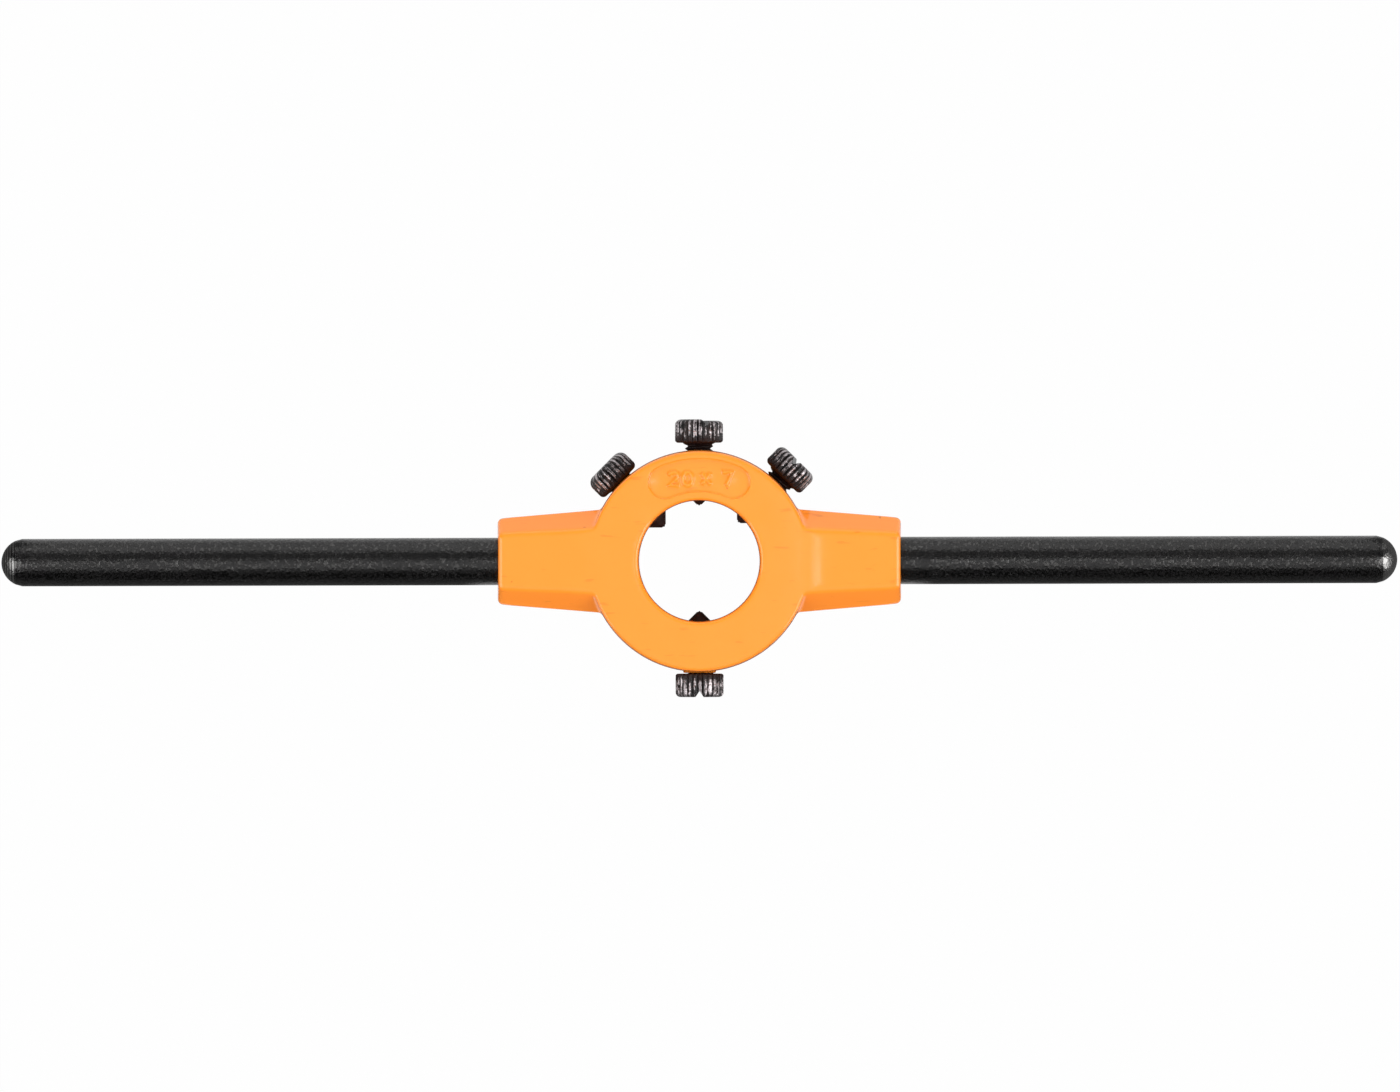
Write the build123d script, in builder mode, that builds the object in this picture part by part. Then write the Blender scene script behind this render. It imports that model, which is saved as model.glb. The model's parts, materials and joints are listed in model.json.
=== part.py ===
from build123d import *
from math import acos, cos, degrees, hypot, pi, radians, sin, tan
import os

# Die stock for round threading dies: a cast ring with two tapered lugs, two steel handles
# and four knurled screws with cone points. Millimetres. The die's axis is Z, the handles lie
# along X, and Z is 0 at the face that the stock lies on, where the die pocket opens.

# Overall size, over the crowned ends of the handles
overall_length = 200

# The round die that the pocket takes
die_diameter = 20
die_thickness = 7
die_play = 0.05
die_sink = 0.5

# Cast ring
ring_diameter = 31.8
shoulder_thickness = 3.5
guide_hole_diameter = 17.25
pocket_mouth_chamfer = 0.3
guide_hole_chamfer = 0.2

# Tapered lugs: widths at their outer ends, angles in degrees
lug_reach = 28.9
lug_end_width = 12.3
lug_end_land = 8.0
lug_draft = 4.75
parting_band = 2.0
land_fall = 3.8
land_fall_start = 0.2
land_bend_radius = 47
valley_radius = 0.8
outline_chamfer = 0.25
lug_end_chamfer = 0.4

# Kidney-shaped size panel, sunk into the marked face above the spreading screw's hole
panel_radius = 12.3
panel_width = 4.8
panel_half_angle = 23.5
panel_depth = 0.3

# Handles, screwed into the lugs by a tenon
handle_diameter = 6.8
crown_radius = 3.43
crown_height = 2.05
crown_taper = 0.95
tenon_diameter = 5.9
tenon_length = 10
tenon_play = 0.05
tenon_chamfer = 0.5
tenon_hole_spare = 1.0
drill_angle = 118

# Knurled screws with cone points
screw_diameter = 4.0
screw_play = 0.05
screw_length = 12.2
screw_head_diameter = 6.9
screw_head_height = 3.35
head_chamfer = 0.55
point_angle = 90
point_flat = 0.8
slot_width = 1.2
slot_depth = 0.9
knurl_pitch = 0.8
knurl_depth = 0.28

# How far each screw is backed off: the gap between its head and the ring
spreading_screw_gap = 1.05
closing_screw_left_gap = 0.1
closing_screw_right_gap = 0.95
locking_screw_gap = 0.25

# Each screw's place around the ring in degrees, its gap, and how many degrees its driver
# slot is turned from the die's axis
screws = {
    "spreading_screw": (90, spreading_screw_gap, -20),
    "closing_screw_left": (135, closing_screw_left_gap, 75),
    "closing_screw_right": (45, closing_screw_right_gap, 6),
    "locking_screw": (270, locking_screw_gap, -2),
}

# Sizes that follow
ring_radius = ring_diameter / 2
pocket_radius = die_diameter / 2 + die_play
pocket_depth = die_thickness + die_sink
ring_height = pocket_depth + shoulder_thickness
mid_height = ring_height / 2
screw_height = pocket_depth - die_thickness / 2
handle_tip = overall_length / 2
handle_radius = handle_diameter / 2
tenon_radius = tenon_diameter / 2
tenon_hole_radius = tenon_radius + tenon_play
screw_radius = screw_diameter / 2
head_radius = screw_head_diameter / 2

# Lengths that only have to reach past what they cut, and a distance too small to matter
cutter_spare = 5
hair = 0.01

# Where the flat lands start to fall, and how far they have fallen at the lugs' ends
fall_from = ring_radius + land_fall_start
bend_reach = land_bend_radius * tan(radians(land_fall / 2))
land_drop = (lug_reach - fall_from - bend_reach) * tan(radians(land_fall))

# Lug: a drafted block that starts inside the ring's wall, with four bevels. The bevels rise
# to the full height, and the fallen lands cut them lower at the lugs' ends
lug_root = (pocket_radius + ring_radius) / 2 - valley_radius
lug_half_end = lug_end_width / 2
lug_half_root = lug_half_end + (lug_reach - lug_root) * tan(radians(lug_draft))
bevel_rise = mid_height - parting_band / 2
bevel_run = (lug_end_width - lug_end_land) / 2 * bevel_rise / (bevel_rise - land_drop)

with BuildPart() as lug:
    with BuildSketch():
        with BuildLine():
            Polyline(
                (lug_root, lug_half_root),
                (lug_root, -lug_half_root),
                (lug_reach, -lug_half_end),
                (lug_reach, lug_half_end),
                close=True,
            )
        make_face()
    extrude(amount=ring_height)

    # The bevels follow the drafted sides and leave a parting band at mid height
    for side in (1, -1):
        along = (cos(radians(lug_draft)), -side * sin(radians(lug_draft)), 0)
        outward = (sin(radians(lug_draft)), side * cos(radians(lug_draft)), 0)
        with BuildSketch(Plane((lug_reach, side * lug_half_end, mid_height), outward, along)):
            for up in (1, -1):
                with BuildLine():
                    Polyline(
                        (0, up * parting_band / 2),
                        (-bevel_run, up * mid_height),
                        (cutter_spare, up * mid_height),
                        (cutter_spare, up * parting_band / 2),
                        close=True,
                    )
                make_face()
        extrude(amount=lug_reach, both=True, mode=Mode.SUBTRACT)

# The line through both handles
bar_axis = Axis((0, 0, mid_height), (1, 0, 0))


def lies_in_a_valley(edge):
    """Edges where the ring's wall meets a lug"""
    middle = edge.position_at(0.5)
    on_the_wall = abs(hypot(middle.X, middle.Y) - ring_radius) < hair
    return on_the_wall and hair < middle.Z < ring_height - hair


def lies_on_an_outline(edge):
    """Edges round the upper and lower faces, without the lines where the lands bend"""
    middle = edge.position_at(0.5)
    near_a_face = abs(middle.Z - mid_height) > mid_height - land_drop - hair
    is_bend = abs(middle.Y) < hair and abs(middle.X) < lug_reach - hair
    return near_a_face and not is_bend


def lies_on_an_end(edge):
    """Edges round the lugs' end faces, without the ones above and below"""
    middle = edge.position_at(0.5)
    return abs(middle.X) > lug_reach - hair and abs(middle.Y) > hair


def lies_around_the_die(edge):
    """Round edges of the pocket and of the guide hole"""
    centre = edge.arc_center
    return hypot(centre.X, centre.Y) < hair and edge.radius < pocket_radius + hair


# Cast body: the ring and its two lugs are one casting
with BuildPart() as stock_body:
    with BuildSketch():
        Circle(ring_radius)
    extrude(amount=ring_height)
    add(lug.part)
    mirror(lug.part, about=Plane.YZ)
    fillet(stock_body.edges().filter_by(lies_in_a_valley), radius=valley_radius)

    # Beyond the ring the lands bend and fall a little towards the ends
    for side in (1, -1):
        for up in (1, -1):
            bend_start = (side * fall_from, mid_height + up * mid_height)
            clear_height = mid_height + up * (mid_height + cutter_spare)
            with BuildSketch(Plane.XZ):
                with BuildLine():
                    bend = JernArc(bend_start, (side, 0), land_bend_radius, -side * up * land_fall)
                    slope = Line(bend @ 1, bend @ 1 + (bend % 1) * lug_reach)
                    Polyline(
                        slope @ 1,
                        ((slope @ 1).X, clear_height),
                        (side * fall_from, clear_height),
                        bend_start,
                    )
                make_face()
            extrude(amount=ring_radius, both=True, mode=Mode.SUBTRACT)

    # Broken edges round both faces, then round the lugs' ends
    chamfer(stock_body.edges().filter_by(lies_on_an_outline), length=outline_chamfer)
    chamfer(stock_body.edges().filter_by(lies_on_an_end), length=lug_end_chamfer)

    # Die pocket from below as far as the shoulder, and the guide hole through the shoulder
    with BuildSketch():
        Circle(pocket_radius)
    extrude(amount=pocket_depth, mode=Mode.SUBTRACT)
    with BuildSketch():
        Circle(guide_hole_diameter / 2)
    extrude(amount=ring_height, mode=Mode.SUBTRACT)
    rims = stock_body.edges().filter_by(GeomType.CIRCLE).filter_by(lies_around_the_die)
    chamfer(rims.group_by(Axis.Z)[0], length=pocket_mouth_chamfer)
    chamfer(rims.group_by(Axis.Z)[-1], length=guide_hole_chamfer)

    # Blind holes for the handles' tenons, with a drill's pointed bottom
    hole_bottom = lug_reach - tenon_length - tenon_hole_spare
    drill_point = tenon_hole_radius / tan(radians(drill_angle / 2))
    for side in (1, -1):
        with BuildSketch(Plane.XZ):
            with BuildLine():
                Polyline(
                    (side * lug_reach, mid_height),
                    (side * lug_reach, mid_height + tenon_hole_radius),
                    (side * hole_bottom, mid_height + tenon_hole_radius),
                    (side * (hole_bottom - drill_point), mid_height),
                    close=True,
                )
            make_face()
        revolve(axis=bar_axis, mode=Mode.SUBTRACT)

    # Screw holes through the ring's wall
    for angle, head_gap, slot_turn in screws.values():
        outward = (cos(radians(angle)), sin(radians(angle)), 0)
        with BuildSketch(Plane((0, 0, screw_height), (0, 0, 1), outward)):
            Circle(screw_radius + screw_play)
        extrude(amount=ring_diameter, mode=Mode.SUBTRACT)

    # Size panel
    with BuildSketch(Plane.XY.offset(ring_height)):
        panel_line = CenterArc((0, 0), panel_radius, 90 - panel_half_angle, 2 * panel_half_angle)
        SlotArc(panel_line, panel_width)
    extrude(amount=-panel_depth, mode=Mode.SUBTRACT)
    stock_body.part.label = "stock_body"

# Handles: plain bars with a crowned end and a shoulder that seats on the lug's end face
bar_top = mid_height + handle_radius
tenon_top = mid_height + tenon_radius
tenon_end = lug_reach - tenon_length
crown_centre = (handle_tip - crown_radius, mid_height)
crown_sweep = degrees(acos(1 - crown_height / crown_radius))

with BuildPart() as handle_right:
    with BuildSketch(Plane.XZ):
        with BuildLine():
            crown = CenterArc(crown_centre, crown_radius, 0, crown_sweep)
            Polyline(
                crown @ 1,
                (handle_tip - crown_height - crown_taper, bar_top),
                (lug_reach, bar_top),
                (lug_reach, tenon_top),
                (tenon_end + tenon_chamfer, tenon_top),
                (tenon_end, tenon_top - tenon_chamfer),
                (tenon_end, mid_height),
                crown @ 0,
            )
        make_face()
    revolve(axis=bar_axis)
    handle_right.part.label = "handle_right"

with BuildPart() as handle_left:
    mirror(handle_right.part, about=Plane.YZ)
    handle_left.part.label = "handle_left"

# One screw along +X, with its point at the origin
head_start = screw_length - screw_head_height
point_length = (screw_radius - point_flat / 2) / tan(radians(point_angle / 2))
ridge_count = round(pi * screw_head_diameter / knurl_pitch)
half_pitch = pi / ridge_count

with BuildPart() as screw:
    # Head with a straight knurl of sharp ridges
    with BuildSketch(Plane.YZ.offset(head_start)):
        with BuildLine():
            Polyline(
                *(
                    (radius * cos(turn * half_pitch), radius * sin(turn * half_pitch))
                    for ridge in range(0, 2 * ridge_count, 2)
                    for turn, radius in ((ridge, head_radius), (ridge + 1, head_radius - knurl_depth))
                ),
                close=True,
            )
        make_face()
    extrude(amount=screw_head_height)

    # Chamfer round the head's outer end
    with BuildSketch(Plane.XZ):
        with BuildLine():
            Polyline(
                (screw_length, head_radius - head_chamfer),
                (screw_length, head_radius + head_chamfer),
                (screw_length - 2 * head_chamfer, head_radius + head_chamfer),
                close=True,
            )
        make_face()
    revolve(axis=Axis.X, mode=Mode.SUBTRACT)

    # Cone point and shank
    with BuildSketch(Plane.XZ):
        with BuildLine():
            Polyline(
                (0, 0),
                (0, point_flat / 2),
                (point_length, screw_radius),
                (head_start + hair, screw_radius),
                (head_start + hair, 0),
                close=True,
            )
        make_face()
    revolve(axis=Axis.X)

    # Driver slot across the head
    with BuildSketch(Plane.YZ.offset(screw_length)):
        Rectangle(slot_width, screw_head_diameter)
    extrude(amount=-slot_depth, mode=Mode.SUBTRACT)

os.makedirs("parts", exist_ok=True)
export_step(stock_body.part, "parts/stock_body.step")
export_step(handle_left.part, "parts/handle_left.step")
export_step(handle_right.part, "parts/handle_right.step")

# The screws point at the die's axis, each backed off by its own gap
for name, (angle, head_gap, slot_turn) in screws.items():
    turn = radians(angle)
    lean = radians(slot_turn)
    outward = (cos(turn), sin(turn), 0)
    slot_line = (-sin(turn) * sin(lean), cos(turn) * sin(lean), cos(lean))
    point_reach = ring_radius + head_gap - head_start
    point = (point_reach * cos(turn), point_reach * sin(turn), screw_height)
    with BuildPart() as placed:
        with Locations(Plane(point, outward, slot_line)):
            add(screw.part)
    placed.part.label = name
    export_step(placed.part, f"parts/{name}.step")
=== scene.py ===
import json
from math import acos, atan, cos, pi, radians, sin, tan, tau

import bmesh
import bpy
import numpy as np
from mathutils import Matrix, Vector

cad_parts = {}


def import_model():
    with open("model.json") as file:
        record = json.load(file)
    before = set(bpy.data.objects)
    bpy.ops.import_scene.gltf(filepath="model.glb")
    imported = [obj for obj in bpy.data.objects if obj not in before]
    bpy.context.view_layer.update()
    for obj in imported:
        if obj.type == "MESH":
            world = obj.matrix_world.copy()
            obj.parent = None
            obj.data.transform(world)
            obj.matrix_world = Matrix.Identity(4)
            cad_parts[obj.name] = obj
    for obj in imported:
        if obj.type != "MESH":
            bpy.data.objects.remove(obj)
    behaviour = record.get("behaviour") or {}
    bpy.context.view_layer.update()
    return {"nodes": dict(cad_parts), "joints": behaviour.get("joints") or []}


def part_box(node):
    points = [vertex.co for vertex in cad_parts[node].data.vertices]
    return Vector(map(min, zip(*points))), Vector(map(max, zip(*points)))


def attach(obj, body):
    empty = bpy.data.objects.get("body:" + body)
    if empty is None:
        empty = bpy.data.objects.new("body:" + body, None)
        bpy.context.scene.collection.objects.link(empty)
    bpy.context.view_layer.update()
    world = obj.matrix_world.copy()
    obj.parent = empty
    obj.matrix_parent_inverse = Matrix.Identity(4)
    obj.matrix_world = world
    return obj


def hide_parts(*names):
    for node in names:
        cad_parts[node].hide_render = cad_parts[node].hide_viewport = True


# Die stock: an enamelled casting, two black bars and four worn screws, each made anew in the
# place that the frame gives, on a white floor in soft light

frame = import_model()
nodes = frame["nodes"]
MM = 0.001

# Where things are, read from the frame
ring_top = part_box("stock_body")[1].z
ring_radius = -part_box("stock_body")[0].y
lug_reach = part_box("stock_body")[1].x
bar_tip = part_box("handle_right")[1].x
bar_inner_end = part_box("handle_right")[0].x
bar_radius = (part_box("handle_right")[1].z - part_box("handle_right")[0].z) / 2
bar_height = (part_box("handle_right")[1].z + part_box("handle_right")[0].z) / 2
screw_height = (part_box("locking_screw")[1].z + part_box("locking_screw")[0].z) / 2
screw_axes = {joint["child"]: Vector(joint["axis"]) for joint in frame["joints"]}


class Wire:
    """A shader socket. Sums with it add Math nodes, and node() adds any other node"""

    def __init__(self, tree, socket=None):
        self.tree = tree
        self.socket = socket

    def node(self, kind, settings=None, values=None, output=0):
        """Adds a node: its settings first, then the values or wires of its sockets"""
        made = self.tree.nodes.new("ShaderNode" + kind)
        for name, setting in (settings or {}).items():
            setattr(made, name, setting)
        for name, value in (values or {}).items():
            if isinstance(value, Wire):
                self.tree.links.new(value.socket, made.inputs[name])
            else:
                made.inputs[name].default_value = value
        return Wire(self.tree, made.outputs[output] if made.outputs else None)

    def outputs(self):
        """Every socket of the node that this wire comes from"""
        return [Wire(self.tree, socket) for socket in self.socket.node.outputs]

    def maths(self, operation, *values):
        return self.node("Math", {"operation": operation}, dict(enumerate(values)))

    def __add__(self, other):
        return self.maths("ADD", self, other)

    def __sub__(self, other):
        return self.maths("SUBTRACT", self, other)

    def __rsub__(self, other):
        return self.maths("SUBTRACT", other, self)

    def __mul__(self, other):
        return self.maths("MULTIPLY", self, other)

    def __abs__(self):
        return self.maths("ABSOLUTE", self)

    __radd__ = __add__
    __rmul__ = __mul__

    def between(self, low, high):
        """0 at low, 1 at high, and smooth in between"""
        settings = {"interpolation_type": "SMOOTHSTEP"}
        return self.node("MapRange", settings, {0: self, 1: low, 2: high})

    def blend(self, low, high):
        """The colour low where this is 0, and high where it is 1"""
        return self.node("Mix", {"data_type": "RGBA"}, {0: self, 6: low, 7: high}, 2)

    def noise(self, scale, detail=3.0, stretch=(1, 1, 1)):
        """Even noise from 0 to 1 over the piece itself, in features of 1 / scale metres"""
        place = self.node("TexCoord", output=3)
        place = place.node("VectorMath", {"operation": "MULTIPLY"}, {0: place, 1: stretch})
        return self.node("TexNoise", None, {"Vector": place, "Scale": scale, "Detail": detail})

    def attribute(self, name):
        """A number that the mesh carries at each point"""
        return self.node("Attribute", {"attribute_name": name}, output=2)

    def direction(self, output=3):
        """Three wires: the place on the piece in metres, or with output 0 the world's direction"""
        return self.node("SeparateXYZ", None, {0: self.node("TexCoord", output=output)}).outputs()


def finish_named(name, **constants):
    """A material with a bare Principled shader, and a wire to grow its nodes from"""
    material = bpy.data.materials.new(name)
    material.use_nodes = True
    shader = material.node_tree.nodes["Principled BSDF"]
    for socket, value in constants.items():
        shader.inputs[socket.replace("_", " ")].default_value = value
    return material, shader, Wire(material.node_tree)


def feed(shader, **wires):
    """Leads wires to the shader's sockets"""
    for socket, wire in wires.items():
        shader.id_data.links.new(wire.socket, shader.inputs[socket.replace("_", " ")])


def bumped(height, strength, depth):
    """A surface normal from a height wire; depth in metres"""
    return height.node("Bump", None, {"Strength": strength, "Distance": depth, "Height": height})


# Colours in linear light: the enamel's, the black scale's on the bars, and the screws'
deep_orange = (0.97, 0.263, 0.021, 1)
clear_orange = (1.0, 0.290, 0.029, 1)
bruised_orange = (0.42, 0.11, 0.008, 1)
deep_scale = (0.0005, 0.0005, 0.001, 1)
dusty_scale = (0.006, 0.0055, 0.0055, 1)
scratched_scale = (0.05, 0.05, 0.05, 1)
bare_steel = (0.27, 0.266, 0.262, 1)
screw_dark = (0.006, 0.005, 0.005, 1)
screw_brown = (0.020, 0.014, 0.013, 1)
# Painted shade: a dark brown that stands for the ring's shade and its orange reflected on the
# screws
painted_shade_brown = (0.014, 0.003, 0.002, 1)
worn_steel = (0.45, 0.41, 0.42, 1)


def enamel():
    """Orange enamel over a casting: glossy, softly uneven, with a few pinholes and scuffs"""
    material, shader, start = finish_named("orange_enamel", IOR=1.5)
    cloud = start.noise(260)
    fine = start.noise(2600, 2.0)
    tone = (cloud - 0.5) * 0.5 + (fine - 0.5) * 0.25 + 0.5
    pinhole = start.noise(1100, 0.0).between(0.86, 0.88)
    scuff = start.noise(1300, 2.0, (0.2, 1, 1)).between(0.65, 0.74)
    colour = tone.blend(deep_orange, clear_orange)
    colour = (pinhole * 0.55 + scuff * 0.3).blend(colour, bruised_orange)
    ripple = start.noise(420, 1.0) + start.noise(1300, 1.0) * 0.2
    feed(
        shader,
        Base_Color=colour,
        Roughness=cloud * 0.06 + 0.09,
        Normal=bumped(ripple, 0.25, 0.00003),
    )
    return material


def bar_black():
    """Black scale on drawn bar, mottled, streaked and specked, and worn off the turned crowns"""
    material, shader, start = finish_named("black_scale", IOR=1.5)
    mottle = start.noise(420, 5.0, (0.55, 1, 1))
    grain = start.noise(2600, 3.0, (1.2, 0.5, 0.5))
    streak = start.noise(1400, 2.0, (0.02, 1, 1))
    speck = start.noise(3100, 2.0, (0.9, 0.6, 0.6)).between(0.38, 0.7)
    bare = start.maths("MAXIMUM", start.attribute("wear"), speck * 0.33)
    tone = (mottle - 0.5) * 0.9 + (grain - 0.5) * 0.9 + 0.5
    scratch = streak.between(0.62, 0.72) * grain.between(0.45, 0.65)
    colour = tone.blend(deep_scale, dusty_scale)
    colour = (scratch * 0.4).blend(colour, scratched_scale)
    colour = bare.blend(colour, bare_steel)
    relief = mottle * 0.5 + grain * 0.5 + speck * 0.3 + streak * 0.2
    feed(
        shader,
        Base_Color=colour,
        Metallic=bare.between(0.0, 0.12),
        Roughness=mottle * 0.2 + grain * 0.12 + 0.07,
        Normal=bumped(relief, 1.0, 0.00009),
    )
    return material


def screw_black():
    """Blackened steel, worn bright on its ridges, with painted shade near the ring, dark and brown
    from the ring's orange
    """
    material, shader, start = finish_named("worn_black_steel", IOR=1.35)
    ridge = start.attribute("wear")
    # Painted shade near the ring: it darkens and browns the steel, dulls it and keeps it from
    # looking worn
    ring_shade = start.attribute("ring_shade")
    patch = start.noise(1100, 3.0)
    grain = start.noise(5200, 2.0)
    worn = ridge + (patch - 0.5) * 1.6 + (grain - 0.5) * 0.9 - ring_shade * 1.1
    worn = worn.between(0.52, 1.05)
    colour = patch.between(0.42, 0.62).blend(screw_dark, screw_brown)
    colour = (ring_shade * 0.8).blend(colour, painted_shade_brown)
    colour = worn.blend(colour, worn_steel)
    relief = patch * 0.4 + grain * 0.6
    feed(
        shader,
        Base_Color=colour,
        Metallic=worn * 0.9,
        Roughness=grain * 0.2 + ring_shade * 0.25 + 0.22,
        Normal=bumped(relief, 0.8, 0.00008),
    )
    return material


def ramp(values, low, high):
    """0 at low, 1 at high; the numbers in millimetres, and the values in metres"""
    return np.clip((values / MM - low) / (high - low), 0, 1)


def linked(name, data):
    """A new object in the scene"""
    piece = bpy.data.objects.new(name, data)
    bpy.context.scene.collection.objects.link(piece)
    return piece


def object_of(name, shape):
    """An object from a bmesh, with its faces turned outwards"""
    bmesh.ops.recalc_face_normals(shape, faces=shape.faces)
    mesh = bpy.data.meshes.new(name)
    shape.to_mesh(mesh)
    shape.free()
    return linked(name, mesh)


def mesh_from(piece):
    """The piece's mesh with its modifiers and curves worked out"""
    scene_now = bpy.context.evaluated_depsgraph_get()
    return bpy.data.meshes.new_from_object(piece.evaluated_get(scene_now))


def settle(piece):
    """Works the piece's modifiers into its mesh"""
    piece.data = mesh_from(piece)
    piece.modifiers.clear()


def dressed(piece, finish, body, slot, *replaced):
    """Gives a finished piece its material and its body, and hides the nodes that it stands for"""
    piece.data.materials.clear()
    piece.data.materials.append(finish)
    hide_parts(*replaced)
    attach(piece, body)


def strokes_mesh(lines, radius):
    """Round strokes through points in metres"""
    strokes = bpy.data.curves.new("strokes", "CURVE")
    strokes.dimensions = "3D"
    strokes.bevel_depth = radius
    strokes.bevel_resolution = 3
    strokes.use_fill_caps = True
    for points in lines:
        line = strokes.splines.new("POLY")
        line.points.add(len(points) - 1)
        for point, place in zip(line.points, points):
            point.co = (*place, 1)
    piece = linked("strokes", strokes)
    mesh = mesh_from(piece)
    bpy.data.objects.remove(piece)
    return mesh


# Raised size mark: plain strokes in millimetres on the panel's floor, each sign with its middle
# at mark_height, as (middle, points). A stroke's own middle lies stroke_lift above the floor
mark_height = 11.75
mark_strokes = [
    (-3.65, [(-0.68, 0.5), (-0.54, 0.8), (-0.17, 0.96), (0.22, 0.94), (0.54, 0.72), (0.62, 0.38),
             (0.42, 0.0), (-0.71, -0.95), (0.71, -0.95)]),
    (-1.66, [(0.68 * sin(turn), 0.95 * cos(turn)) for turn in np.linspace(0, tau, 25)]),
    (0.97, [(-0.63, -0.78), (0.63, 0.78)]),
    (0.97, [(-0.63, 0.78), (0.63, -0.78)]),
    (4.02, [(-0.7, 0.95), (0.7, 0.95), (-0.13, -0.98)]),
]
stroke_radius = 0.27
stroke_lift = 0.04
panel_depth = 0.3

# Run of enamel round the locking screw's hole, in millimetres
run_radius = 2.2
run_thickness = 0.16
run_points = 49

# The screws whose heads flare underneath. The mouths of their holes are countersunk to take the
# flares: deepest at the hole's edge and gone at sink_radius. sink_below says how far inside the
# ring's wall the wall's points are left alone, and from where they are pushed in fully
flared_screws = ("spreading_screw", "closing_screw_left", "closing_screw_right")
hole_radius = 2.05
sink_radius = 2.6
sink_depth = 0.45
sink_below = (1.7, 0.2)

# Draft of the casting in degrees. Outside it starts from the parting band, and in the guide hole
# from the shoulder. The pairs are distances from the die's axis, as (no draft, full draft). All
# lengths are in millimetres
draft = 1.9
parting_half = 1.0
shoulder_height = 7.5
drafted_wall = (15.0, 15.7)
drafted_bore = (9.4, 8.8)

# How finely the casting's skin is made, how often it is smoothed everywhere and where it is soft,
# in how many steps of softness, and the share of its triangles that is kept.
weld = 0.001 * MM
skin_voxel = 0.1 * MM
pass_strength = 0.5
sharp_passes = 2
soft_passes = 100
soft_steps = 10
skin_share = 0.15

# Edges are soft away from mid height and towards the lugs' ends. They stay sharper at mid height,
# where they draw the outline, round the bars, in the size panel and in the valleys between ring
# and lugs. The pairs are (none, full) in millimetres: soft_height from mid height, soft_end from
# a lug's end, off_the_bars from the bars' axis, valley_side along the bars and valley_out from
# the die's axis. The panel is given by its distances from the die's axis and its half width
soft_height = (1.5, 3.0)
soft_end = (2.0, 1.0)
off_the_bars = (3.6, 4.6)
valley_side = (11, 12)
valley_out = (17.5, 16.8)
valley_sharpness = 0.7
panel_inner = 9.4
panel_outer = 15.2
panel_reach = 8.2
panel_blend = 0.4


def size_mark():
    """The raised strokes on the panel's floor"""
    height = ring_top - (panel_depth - stroke_lift) * MM
    lines = [
        [((middle + x) * MM, (mark_height + y) * MM, height) for x, y in points]
        for middle, points in mark_strokes
    ]
    return strokes_mesh(lines, stroke_radius * MM)


def enamel_run():
    """A thin run of enamel on the ring's wall, round the locking screw's hole"""
    circle = [
        (run_radius * MM * sin(turn), -ring_radius, screw_height + run_radius * MM * cos(turn))
        for turn in np.linspace(0, tau, run_points)
    ]
    return strokes_mesh([circle], run_thickness * MM)


def countersunk(x, y, z):
    """Places with the mouths of the flared screws' holes pushed in, each as a cone"""
    untouched, full = sink_below
    for name in flared_screws:
        outward = screw_axes[name]
        along = x * outward.x + y * outward.y
        across = np.hypot(y * outward.x - x * outward.y, z - screw_height)
        depth = ramp(sink_radius * MM - across, 0, sink_radius - hole_radius)
        depth = depth * ramp(along, ring_radius / MM - untouched, ring_radius / MM - full)
        depth = depth * sink_depth * MM
        x, y = x - depth * outward.x, y - depth * outward.y
    return x, y


def drafted(x, y, z):
    """Places drawn in towards both faces and, in the guide hole, drawn out towards the upper one.
    Gives each one's distance from the die's axis too"""
    out = np.hypot(x, y)
    wall_rise = np.clip(abs(z - bar_height) - parting_half * MM, 0, None)
    wall_rise = wall_rise * ramp(out, *drafted_wall)
    bore_rise = np.clip(z - shoulder_height * MM, 0, None) * ramp(out, *drafted_bore)
    drawn = 1 + (bore_rise - wall_rise) * tan(radians(draft)) / out
    return x * drawn, y * drawn, out * drawn


def softness(x, y, z, out):
    """0 where the casting's edges stay sharp, and 1 where the enamel rounds them most"""
    in_panel = ramp(out, panel_inner - panel_blend, panel_inner)
    in_panel = in_panel * ramp(out, panel_outer, panel_outer - panel_blend)
    in_panel = in_panel * ramp(panel_reach * MM - abs(x), 0, panel_blend)
    in_panel = in_panel * (y > 0) * (z > ring_top - MM)
    no_end, full_end = soft_end
    near_end = ramp(abs(x), lug_reach / MM - no_end, lug_reach / MM - full_end)
    soft = np.maximum(ramp(abs(z - bar_height), *soft_height), near_end)
    soft = soft * ramp(np.hypot(y, z - bar_height), *off_the_bars)
    in_valley = ramp(abs(x), *valley_side) * ramp(out, *valley_out)
    return soft * (1 - in_panel) * (1 - in_valley * valley_sharpness)


def smoother(piece, name, passes):
    """A modifier that evens the piece's surface, with this many gentle passes"""
    made = piece.modifiers.new(name, "SMOOTH")
    made.factor = pass_strength
    made.iterations = passes
    return made


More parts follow.
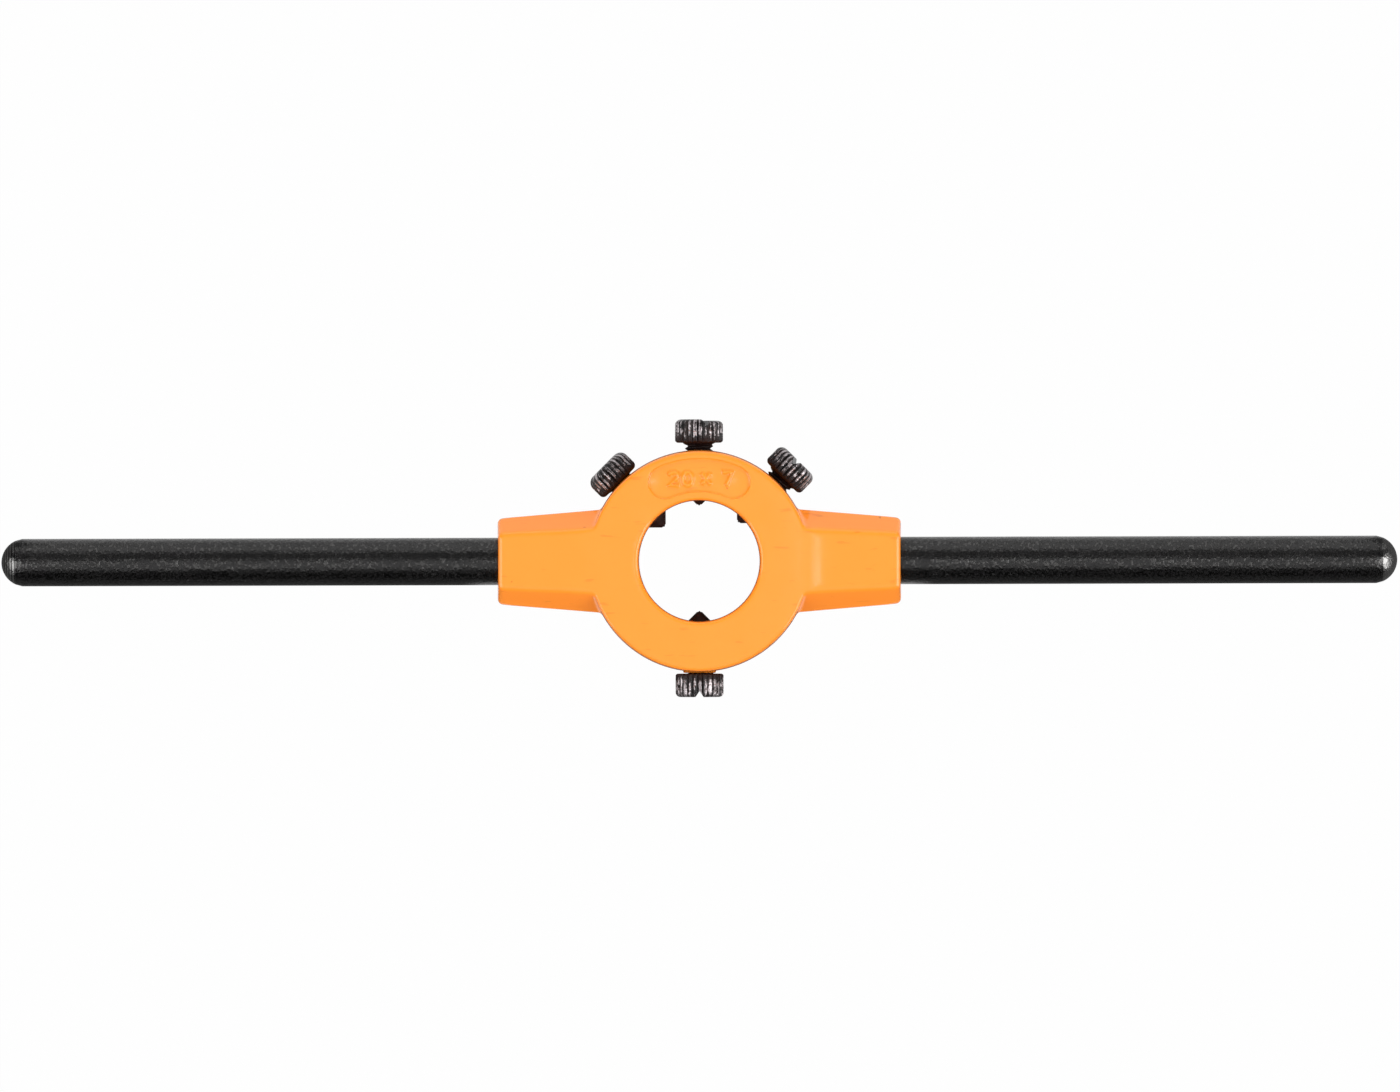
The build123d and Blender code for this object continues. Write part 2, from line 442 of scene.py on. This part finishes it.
def casting():
    """The cast body under its enamel: soft edges, with the size mark and a run of enamel on it"""
    shape = bmesh.new()
    shape.from_mesh(nodes["stock_body"].data)
    bmesh.ops.remove_doubles(shape, verts=shape.verts, dist=weld)
    shape.from_mesh(size_mark())
    shape.from_mesh(enamel_run())
    piece = object_of("casting", shape)
    skin = piece.modifiers.new("skin", "REMESH")
    skin.mode = "VOXEL"
    skin.voxel_size = skin_voxel * 1
    settle(piece)

    places = np.empty(len(piece.data.vertices) * 3, dtype=np.float32)
    piece.data.vertices.foreach_get("co", places)
    x, y, z = places.reshape(-1, 3).T
    x, y = countersunk(x, y, z)
    x, y, out = drafted(x, y, z)
    piece.data.vertices.foreach_set("co", np.stack((x, y, z), 1).ravel())

    soft_level = np.round(softness(x, y, z, out) * soft_steps)
    group = piece.vertex_groups.new(name="soft")
    for level in range(1, soft_steps + 1):
        chosen = np.nonzero(soft_level == level)[0]
        group.add(chosen.tolist(), level / soft_steps, "REPLACE")
    smoother(piece, "sharp", sharp_passes)
    soft = smoother(piece, "soft", soft_passes)
    soft.vertex_group = "soft"
    thin = piece.modifiers.new("thin", "DECIMATE")
    thin.ratio = skin_share
    settle(piece)
    piece.vertex_groups.clear()
    piece.data.shade_smooth()
    dressed(piece, enamel(), "stock", "enamel", "stock_body")


def turned(profile, around, sharp=()):
    """A closed bmesh of rings round X. Each ring has distances, radii, wear and painted shade for
    its points, in millimetres and from 0 to 1. sharp names the rings that stay as crisp edges"""
    shape = bmesh.new()
    layers = [shape.verts.layers.float.new(name) for name in ("wear", "ring_shade")]
    count = len(around)
    rings = []
    for ring in profile:
        made = []
        rows = (np.broadcast_to(row, count) for row in ring)
        for turn, distance, radius, *kept in zip(around, *rows):
            place = (distance * MM, radius * cos(turn) * MM, radius * sin(turn) * MM)
            vert = shape.verts.new(place)
            for layer, value in zip(layers, kept):
                vert[layer] = value
            made.append(vert)
        rings.append(made)
    for ring, after in zip(rings, rings[1:]):
        for i in range(count):
            j = (i + 1) % count
            shape.faces.new((ring[i], ring[j], after[j], after[i]))
    shape.faces.new(reversed(rings[0]))
    shape.faces.new(rings[-1])
    for number in sharp:
        for one, other in zip(rings[number], rings[number][1:] + rings[number][:1]):
            shape.edges.get((one, other)).smooth = False
    for face in shape.faces:
        face.smooth = True
    return shape


# Bars, in millimetres. first_turn is the angle, in radians, of the first ring round a crown's tip
crown_radius = 3.43
crown_height = 2.05
crown_taper = 0.95
first_turn = 0.01
crown_rings = 121
taper_rings = 6
straight_rings = 39
bar_sides = 96
tenon_radius = 2.95
tenon_chamfer = 0.5

# Turning grooves on the crowns, and how much duller their bottoms are than their crests. A crown's
# bare metal drops to taper_wear at its edge, and fades by taper_fade along the taper
groove_pitch = 0.5
groove_depth = 0.002
groove_dullness = {"handle_left": 0.9, "handle_right": 0.15}
taper_wear = 0.5
taper_fade = 2


def bar(name, side, finish):
    """A drawn bar with a turned crown, whose fine grooves run round it, and its tenon in the lug"""
    tip = bar_tip / MM
    full = bar_radius / MM
    seat = lug_reach / MM
    inner = bar_inner_end / MM
    sweep = acos(1 - crown_height / crown_radius)
    rings = []
    for turn in np.linspace(first_turn, sweep, crown_rings):
        groove = sin(tau * crown_radius * turn / groove_pitch)
        reach = crown_radius + groove_depth * groove
        wear = 1 - groove_dullness[name] * (0.5 - 0.5 * groove)
        rings.append((tip - crown_radius + reach * cos(turn), reach * sin(turn), wear, 0))
    edge = len(rings) - 1
    for share in np.linspace(0, 1, taper_rings + 1)[1:]:
        radius = rings[edge][1] + (full - rings[edge][1]) * share
        wear = max(0, taper_wear - taper_fade * share)
        rings.append((tip - crown_height - crown_taper * share, radius, wear, 0))
    for distance in np.linspace(rings[-1][0], seat, straight_rings + 1)[1:]:
        rings.append((distance, full, 0, 0))
    shoulder = len(rings) - 1
    rings.append((seat, tenon_radius, 0, 0))
    rings.append((inner + tenon_chamfer, tenon_radius, 0, 0))
    rings.append((inner, tenon_radius - tenon_chamfer, 0, 0))
    around = np.arange(bar_sides) * tau / bar_sides
    shape = turned(rings, around, sharp=(edge, shoulder, shoulder + 1))
    stand = Matrix.Translation((0, 0, bar_height)) @ Matrix.Scale(side, 4, (1, 0, 0))
    bmesh.ops.transform(shape, matrix=stand, verts=shape.verts)
    piece = object_of(name + "_bar", shape)
    dressed(piece, finish, "stock", "blackened_bar", name)


# Screw heads, in millimetres; the frame gives the screws' length and place. Each head has its
# rounding as (at the outer face, at the inner face). One has a step across the outer face, which
# starts at step_from of the head's length, and two are more or less polished than the others
head_length = 3.35
head_radius = 3.45
head_core = 1.2
head_rounds = {
    "spreading_screw": (0.85, 0.45),
    "closing_screw_left": (1.3, 0.75),
    "closing_screw_right": (1.05, 0.7),
    "locking_screw": (0.7, 0.35),
}
face_steps = {"spreading_screw": 0.2}
step_from = 0.75
polish = {"spreading_screw": -0.1, "locking_screw": 0.2}
face_centre = 0.5
face_wear = 0.3

# Knurl: its ridges, and how finely a head is made. The pairs are the least and the most that
# chance gives a ridge: how much of its width is flat, how deep its groove is as a share of
# ridge_depth, and how much its crest has lost. The dents are spreads of what it adds to the
# radius, point by point and ridge by ridge
ridge_count = 27
ridge_depth = 0.26
steps_per_ridge = 14
head_rows = 30
round_rows = 8
flat_tops = (0.1, 0.55)
groove_shares = (0.5, 1.15)
crest_losses = (0.0, 0.05)
small_dents = 0.006
ridge_dents = 0.012

# Wear of a head: full_wear on a crest, less down its flanks. Scars on whole ridges and fine
# scratches drift from row to row, each as (share that lasts, spread of what comes new)
full_wear = 0.92
flank_shade = 1.5
first_scars = (-0.5, 0.25)
scar_drift = (0.85, 0.12)
first_scratches = 0.3
scratch_drift = (0.9, 0.13)

# Painted shade on a head, dark brown where the ring shades it: full at its inner face, and gone
# about a
# # third of the way out
ring_shade_start = 1.1
ring_shade_fade = 3.0
ring_shade_unevenness = 0.3


def knurled_head(name, length, chance):
    """Head from its inner face to its outer face, with uneven and worn flat-topped ridges"""
    outer_round, inner_round = head_rounds[name]
    count = ridge_count * steps_per_ridge
    around = np.arange(count) * tau / count
    ridge = np.arange(count) // steps_per_ridge
    across = np.abs(np.arange(count) % steps_per_ridge / steps_per_ridge - 0.5) * 2
    top = chance.uniform(*flat_tops, ridge_count)[ridge]
    flank = np.clip((across - top) / (1 - top), 0, 1)
    groove = ridge_depth * chance.uniform(*groove_shares, ridge_count)[ridge]
    crest = head_radius - chance.uniform(*crest_losses, ridge_count)[ridge] - groove * flank
    start = length - head_length
    ends = 1 - np.cos(np.linspace(0, pi / 2, round_rows))
    middle = np.linspace(start + inner_round, length - outer_round, head_rows)
    stations = [*(start + inner_round * ends), *middle[1:-1], *(length - outer_round * ends[::-1])]
    half_lower = (np.cos(around) < 0) * face_steps.get(name, 0)
    profile = [(start, head_core, 0, 1)]
    scar = chance.uniform(*first_scars, ridge_count)
    scratch = chance.normal(0, first_scratches, count)
    # How unevenly the painted shade ends, ridge by ridge
    shade_jitter = chance.uniform(-ring_shade_unevenness, ring_shade_unevenness, ridge_count)
    for station in stations:
        into_inner = np.clip(1 - (station - start) / inner_round, 0, 1)
        into_outer = np.clip(1 - (length - station) / outer_round, 0, 1)
        inner = head_radius - inner_round * (1 - np.sqrt(1 - into_inner**2))
        outer = head_radius - outer_round * (1 - np.sqrt(1 - into_outer**2))
        dents = chance.normal(0, small_dents, count)
        dents = dents + chance.normal(0, ridge_dents, ridge_count)[ridge]
        radii = np.minimum(np.minimum(crest + dents, inner), outer)
        scar = scar * scar_drift[0] + chance.normal(0, scar_drift[1], ridge_count)
        scratch = scratch * scratch_drift[0] + chance.normal(0, scratch_drift[1], count)
        wear = full_wear - flank * flank_shade + scar[ridge] + scratch + polish.get(name, 0)
        along = (station - start) / head_length
        # Painted shade, fading from the inner face outwards
        ring_shade = ring_shade_start - along * ring_shade_fade + shade_jitter[ridge]
        lowered = half_lower * np.clip((along - step_from) / (1 - step_from), 0, 1)
        profile.append((station - lowered, radii, np.clip(wear, 0, 1), np.clip(ring_shade, 0, 1)))
    profile.append((length - half_lower, face_centre, face_wear, 0))
    return turned(profile, around)


# Shank with its thread, flare and cone point, in millimetres. thread_form is how far the flanks
# are steepened and cut off, which leaves a flat crest and a flat root. Its wear rises by
# thread_wear from root to crest, and thread_shade comes off it. A flare takes at most flare_share
# of the gap between ring and head. The shank goes root_depth into the head
shank_radius = 2.0
shank_sides = 72
thread_depth = 0.4
thread_pitch = 0.7
rows_per_pitch = 14
thread_form = (1.35, 0.15)
thread_wear = 0.9
thread_shade = 0.35
# Painted shade on the thread, which lies in the ring's shade
thread_ring_shade = 0.75
flare_radius = 2.35
flare_length = 0.35
flare_share = 0.8
root_depth = 0.2
point_radius = 0.36
first_row = 0.002

# Pip on the cone point: its rings as shares of its length and of its radius
pip_radius = 0.15
pip_length = 0.13
pip_rings = [(1, 0.4), (0.6, 0.9), (0, 1)]
# Painted shade on the point, deep in the ring's hole
pip_ring_shade = 0.5


def threaded_shank(length, flare):
    """Cone point with its pip, and a helical thread that runs up to the head and may flare there"""
    widest = flare_radius if flare else shank_radius
    around = np.arange(shank_sides) * tau / shank_sides
    head_start = length - head_length
    profile = [
        (-pip_length * reach, pip_radius * share, 0, pip_ring_shade)
        for reach, share in pip_rings
    ]
    for station in np.arange(first_row, head_start, thread_pitch / rows_per_pitch):
        lead = (station / thread_pitch - around / tau) % 1
        flank = 1 - np.abs(2 * lead - 1)
        height = np.clip(flank * thread_form[0] - thread_form[1], 0, 1)
        thread = shank_radius - thread_depth * (1 - height)
        widening = np.clip((station - head_start + flare) / flare, 0, 1) if flare else 0
        thread = thread + (widest - thread) * widening
        radii = np.minimum(thread, point_radius + station)
        wear = np.clip(flank * thread_wear - thread_shade, 0, 1)
        profile.append((station, radii, wear, thread_ring_shade))
    profile.append((head_start, widest, 0, 1))
    profile.append((head_start + root_depth, shank_radius, 0, 1))
    return turned(profile, around)


# Driver slots, in millimetres, and how many degrees each is turned from the die's axis. A screw's
# edges look crisp from crisp_from degrees
slot_mouth = 1.35
slot_floor = 0.25
slot_depth = 0.85
slot_over = 0.5
slot_half_length = 5
slot_turns = {
    "spreading_screw": -20,
    "closing_screw_left": 75,
    "closing_screw_right": 6,
    "locking_screw": -2,
}
crisp_from = 32


def slot_cutter(length):
    """A long prism, wider at the slot's mouth"""
    shape = bmesh.new()
    over_mouth = slot_floor + (slot_mouth - slot_floor) * (slot_depth + slot_over) / slot_depth
    corners = [
        shape.verts.new((distance * MM, side * width / 2 * MM, end * slot_half_length * MM))
        for distance, width in ((length - slot_depth, slot_floor), (length + slot_over, over_mouth))
        for side in (-1, 1)
        for end in (-1, 1)
    ]
    bmesh.ops.convex_hull(shape, input=corners)
    return shape


def screw(name, finish, chance):
    """One knurled screw along its joint's axis, its outer face where the frame has it"""
    outward = screw_axes[name]
    reaches = [vert.co.dot(outward) for vert in nodes[name].data.vertices]
    length = (max(reaches) - min(reaches)) / MM
    gap = (max(reaches) - ring_radius) / MM - head_length
    flare = min(flare_length, gap * flare_share) if name in flared_screws else 0
    head = object_of("head", knurled_head(name, length, chance))
    cutter = object_of("cutter", slot_cutter(length))
    cut = head.modifiers.new("slot", "BOOLEAN")
    cut.object = cutter
    cut.solver = "EXACT"
    shape = bmesh.new()
    shape.from_mesh(mesh_from(head))
    shank = object_of("shank", threaded_shank(length, flare))
    shape.from_mesh(shank.data)
    for spare in (head, cutter, shank):
        bpy.data.objects.remove(spare)

    # The slot's line leans from the die's axis by the screw's own turn
    lean = radians(slot_turns[name])
    up = Vector((-outward.y * sin(lean), outward.x * sin(lean), cos(lean)))
    low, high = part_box(name)
    base = outward * min(reaches)
    base.z = (low.z + high.z) / 2
    stand = Matrix((outward, up.cross(outward), up)).transposed().to_4x4()
    stand.translation = base
    bmesh.ops.transform(shape, matrix=stand, verts=shape.verts)
    piece = object_of(name + "_turned", shape)
    piece.data.set_sharp_from_angle(angle=radians(crisp_from))
    dressed(piece, finish, name, "blackened_screw", name)


# Camera: straight above the marked face, as far to the side as the photograph's middle is.
# The width is what the picture takes in at the height of the bars
photo_width = 200.6 * MM
camera_distance = 3.0
camera_place = (0.1 * MM, 2.146 * MM)
camera_roll = -0.14


def camera():
    data = bpy.data.cameras.new("camera")
    data.sensor_fit = "HORIZONTAL"
    data.angle = 2 * atan(photo_width / 2 / camera_distance)
    piece = linked("camera", data)
    piece.location = (*camera_place, bar_height + camera_distance)
    piece.rotation_euler = (0, 0, radians(camera_roll))
    bpy.context.scene.camera = piece


# Floor, and the white card on it that only reflections see. The pairs are where the card has not
# begun and where it is full, in metres: behind and in front are across the bars, by the ring and
# at the end are along them, and the hole is round the die's axis
floor_half = 3.0
floor_tone = (0.12, 0.12, 0.12, 1)
card_behind = (-0.003, 0.003)
card_in_front = (-0.018, -0.013)
card_by_the_ring = (0.034, 0.030)
card_end = (0.101, 0.096)
card_hole = (0.018, 0.020)
card_strength = 0.85
backdrop_strength = 0.99


def white_floor():
    """White to the camera and through glass. In reflections a white card lies behind the object
    and round the ring, and the rest is dark. It still takes the object's shadow"""
    material = bpy.data.materials.new("white_floor")
    material.use_nodes = True
    material.node_tree.nodes.clear()
    start = Wire(material.node_tree)
    path = {wire.socket.name: wire for wire in start.node("LightPath").outputs()}
    x, y = start.direction()[:2]
    out = start.maths("POWER", x * x + y * y, 0.5)
    in_front = y.between(*card_in_front) * abs(x).between(*card_by_the_ring)
    card = start.maths("MAXIMUM", in_front, y.between(*card_behind))
    card = card * abs(x).between(*card_end) * out.between(*card_hole)
    seen = (path["Is Camera Ray"] + path["Is Transmission Ray"]) * backdrop_strength
    share = seen + path["Is Glossy Ray"] * card * card_strength
    plain = start.node("BsdfDiffuse", None, {"Color": floor_tone})
    white = start.node("Emission", None, {"Color": (1, 1, 1, 1)})
    mixed = start.node("MixShader", None, {0: share, 1: plain, 2: white})
    start.node("OutputMaterial", None, {0: mixed})
    return material


def floor():
    half = floor_half
    corners = [(-half, -half, 0), (half, -half, 0), (half, half, 0), (-half, half, 0)]
    mesh = bpy.data.meshes.new("floor")
    mesh.from_pydata(corners, [], [(0, 1, 2, 3)])
    mesh.materials.append(white_floor())
    linked("floor", mesh)


# Lamps: soft panels that face the object, as name, place and size in metres, watts, and whether
# reflections show them
lamps = [
    ("back", (0.0, 1.034, 0.376), (1.2, 0.6), 6.6, False),
    ("front", (0.0, -0.834, 0.584), (1.2, 0.6), 4.0, False),
    ("spot", (0.064, 0.0, 1.0), (0.03, 0.03), 0.024, True),
]


def lamp(name, place, size, watts, glossy):
    data = bpy.data.lights.new(name, "AREA")
    data.shape = "RECTANGLE"
    data.size, data.size_y = size
    data.energy = watts
    piece = linked(name, data)
    piece.location = place
    piece.rotation_euler = (-Vector(place)).to_track_quat("-Z", "Y").to_euler()
    piece.visible_glossy = glossy
    piece.visible_camera = False


# The room round the object. The pairs are the angles, in degrees, at which an edge is dark and
# at which it is full. Only right_end has shares of the way to the right instead, from -1 to 1
overhead_front = (-44, -30)
overhead_back = (16, 4)
overhead_side = (40, 28)
overhead_strength = 0.7
wall_front = (42, 60)
wall_side = (48, 60)
wall_strength = 0.95
end_front = (-42, -34)
end_back = (18, 6)
end_top = (68, 62)
end_bottom = (-4, 0)
end_strength = 1.2
raised_end = (16, 28)
raised_strength = 2.0
right_end = (-0.1, 0.1)
right_strength = 1.2
room_front = (-48, -34)
room_side = (30, 60)
room_strength = 0.17
dimmest = 0.03


def edge_of(wire, angles):
    """0 on the dark side of an edge, and 1 where it is full"""
    dark, full = angles
    return wire.between(radians(dark), radians(full))


def world():
    """White to the camera. It lights the object as a dim room with a soft box overhead, one at
    each end that is stronger higher up and at the right, and a white wall behind"""
    made = bpy.data.worlds.new("studio")
    bpy.context.scene.world = made
    made.use_nodes = True
    made.node_tree.nodes.clear()
    start = Wire(made.node_tree)
    to_camera = start.node("LightPath")
    x, y, z = start.direction(0)
    fore_and_aft = start.maths("ARCTAN2", y, z)
    sideways = abs(start.maths("ARCTAN2", x, z))
    off_the_bars = start.maths("ARCTAN2", abs(y), abs(x))
    round_the_end = start.maths("ARCTAN2", y, abs(x))
    rise = start.maths("ARCSINE", z)
    overhead = edge_of(fore_and_aft, overhead_front) * edge_of(fore_and_aft, overhead_back)
    overhead = overhead * edge_of(sideways, overhead_side)
    wall = edge_of(fore_and_aft, wall_front) * edge_of(off_the_bars, wall_side)
    ends = edge_of(round_the_end, end_front) * edge_of(round_the_end, end_back)
    ends = ends * edge_of(rise, end_top) * edge_of(rise, end_bottom)
    raised = raised_strength + x.between(*right_end) * right_strength
    ends = ends * (end_strength + edge_of(rise, raised_end) * raised)
    room = edge_of(fore_and_aft, room_front) * edge_of(off_the_bars, room_side)
    light = room * room_strength + overhead * overhead_strength + wall * wall_strength
    light = light + ends + dimmest
    strength = to_camera + (1 - to_camera) * light
    white = start.node("Background", None, {"Color": (1, 1, 1, 1), 1: strength})
    start.node("OutputWorld", None, {0: white})


casting()
bar_finish = bar_black()
bar("handle_right", 1, bar_finish)
bar("handle_left", -1, bar_finish)
screw_finish = screw_black()
dice = np.random.default_rng(27)
for screw_name in sorted(screw_axes):
    screw(screw_name, screw_finish, dice)

floor()
world()
for each in lamps:
    lamp(*each)
camera()
bpy.context.scene.view_settings.view_transform = "Standard"
